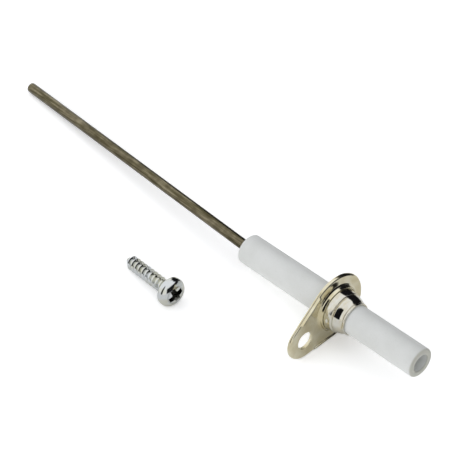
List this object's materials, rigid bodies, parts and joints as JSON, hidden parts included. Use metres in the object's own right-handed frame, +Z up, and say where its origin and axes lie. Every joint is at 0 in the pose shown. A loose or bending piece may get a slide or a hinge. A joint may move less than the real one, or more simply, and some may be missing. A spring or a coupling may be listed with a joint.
{
  "type": "flame sensor probe",
  "caption": "Straight flame sensing rod in a white ceramic insulator with a one-hole pressed flange, and its loose fixing screw.",
  "frame": {"origin": "centre of the flange's seating face, on the insulator's axis", "axes": "+Z up from the table that the probe lies on, +X level along the probe from the flame end to the lead end, so the insulator's axis rises 4.56 degrees towards +X; -Y is the side of the screw hole"},
  "size_m": [0.1579, 0.0372, 0.0188],
  "materials": {
    "rod_alloy": "dark oxidised heat-resistant wire, drawn streaks along its length",
    "insulator_ceramic": "fired, matte, unglazed white",
    "cement": "matte fired cement",
    "contact_metal": "satin",
    "flange_nickel": "warm bright nickel plate on pressed steel",
    "sleeve_nickel": "bright nickel plate on drawn steel",
    "washer_graphite": "dark compressed sealing sheet",
    "screw_zinc": "bright clear zinc plate"
  },
  "bodies": {
    "probe": {"sensing_rod": "rod_alloy", "insulator": "insulator_ceramic", "mouth_cement": "cement", "contact_ferrule": "contact_metal", "mounting_flange": "flange_nickel", "retaining_sleeve": "sleeve_nickel", "seal_washer": "washer_graphite"},
    "screw": {"fixing_screw": "screw_zinc"}
  },
  "joints": [
    {"name": "screw_turn", "type": "hinge", "parent": "probe", "child": "screw", "pos_m": [-0.0364, -0.0237, -0.00538], "axis": [0.9903, -0.0554, 0.1275], "continuous": true}
  ]
}
